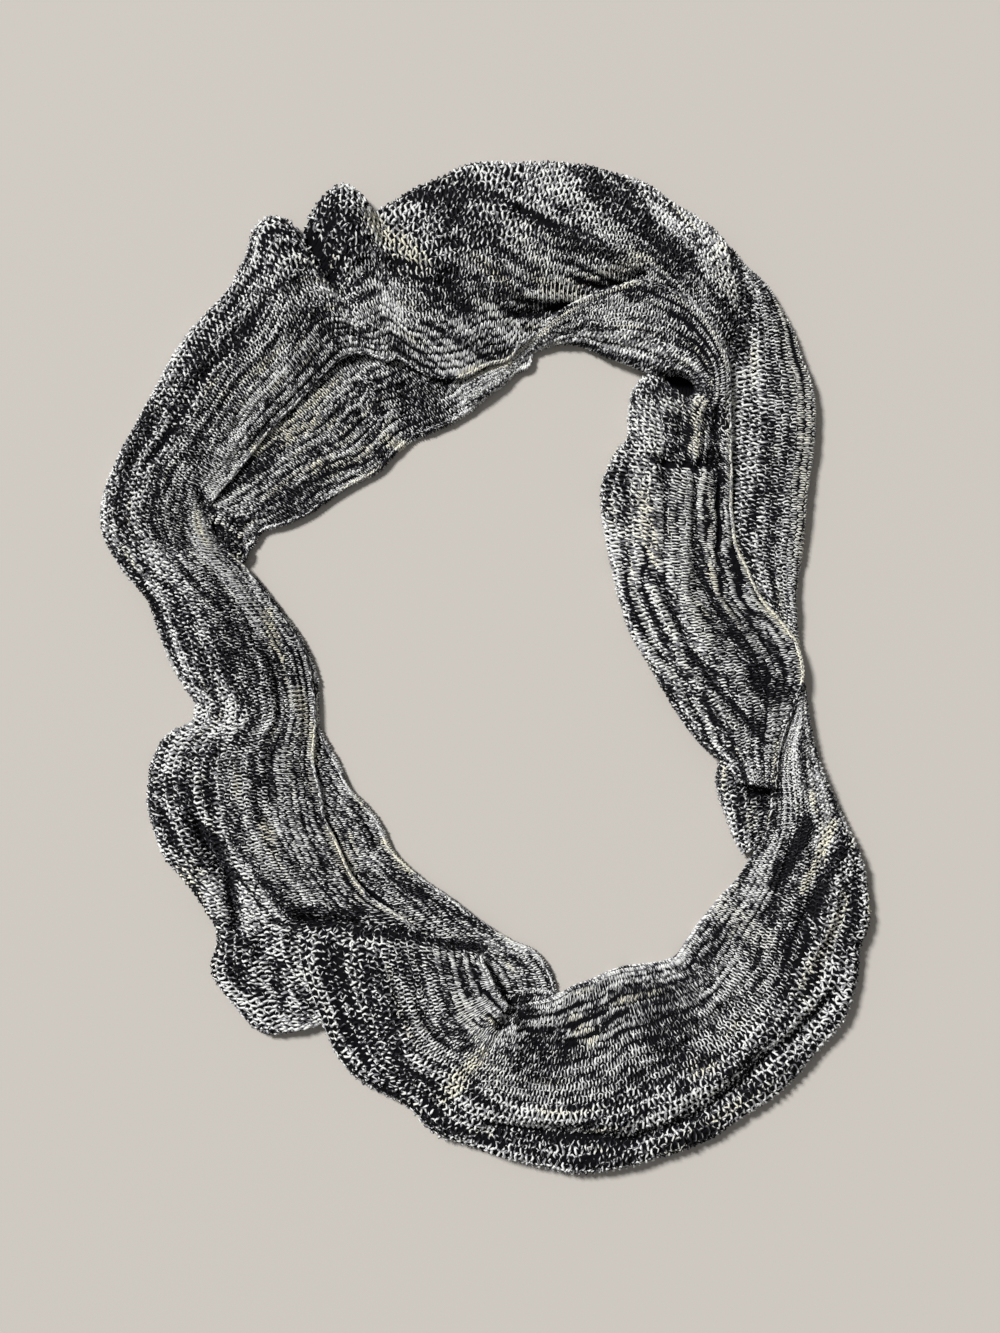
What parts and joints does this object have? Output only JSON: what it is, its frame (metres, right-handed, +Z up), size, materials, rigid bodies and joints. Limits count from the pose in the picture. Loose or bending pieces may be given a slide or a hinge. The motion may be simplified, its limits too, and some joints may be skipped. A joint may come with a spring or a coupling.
{
  "type": "infinity scarf",
  "caption": "Hand-knitted infinity scarf: a wide marled band joined in a loop, folded lengthwise and laid flat as an irregular ring.",
  "frame": {"origin": "centre of the bounding box's bottom face, on the surface the scarf lies on", "axes": "+Z up from that surface, +Y along the ring's longer way towards its top arm, +X towards its right arm"},
  "size_m": [0.5674, 0.7474, 0.022],
  "materials": {
    "left_upper": "matte wool knit",
    "upper_left_upper": "matte wool knit",
    "top_upper": "matte wool knit",
    "top_fold": "matte wool knit",
    "curl_strip": "matte wool knit",
    "right_outer": "matte wool knit",
    "right_inner": "matte wool knit",
    "twist_lobe": "matte wool knit",
    "bottom_right_upper": "matte wool knit",
    "bottom_upper": "matte wool knit",
    "bottom_left_upper": "matte wool knit",
    "left_under": "matte wool knit",
    "upper_left_under": "matte wool knit",
    "top_under": "matte wool knit",
    "top_fold_under": "matte wool knit",
    "right_under": "matte wool knit",
    "bottom_right_under": "matte wool knit",
    "bottom_under": "matte wool knit",
    "bottom_left_under": "matte wool knit"
  },
  "bodies": {
    "root": {"left_upper": "left_upper", "upper_left_upper": "upper_left_upper", "top_upper": "top_upper", "top_fold": "top_fold", "curl_strip": "curl_strip", "right_outer": "right_outer", "right_inner": "right_inner", "twist_lobe": "twist_lobe", "bottom_right_upper": "bottom_right_upper", "bottom_upper": "bottom_upper", "bottom_left_upper": "bottom_left_upper", "left_under": "left_under", "upper_left_under": "upper_left_under", "top_under": "top_under", "top_fold_under": "top_fold_under", "right_under": "right_under", "bottom_right_under": "bottom_right_under", "bottom_under": "bottom_under", "bottom_left_under": "bottom_left_under"}
  },
  "joints": []
}
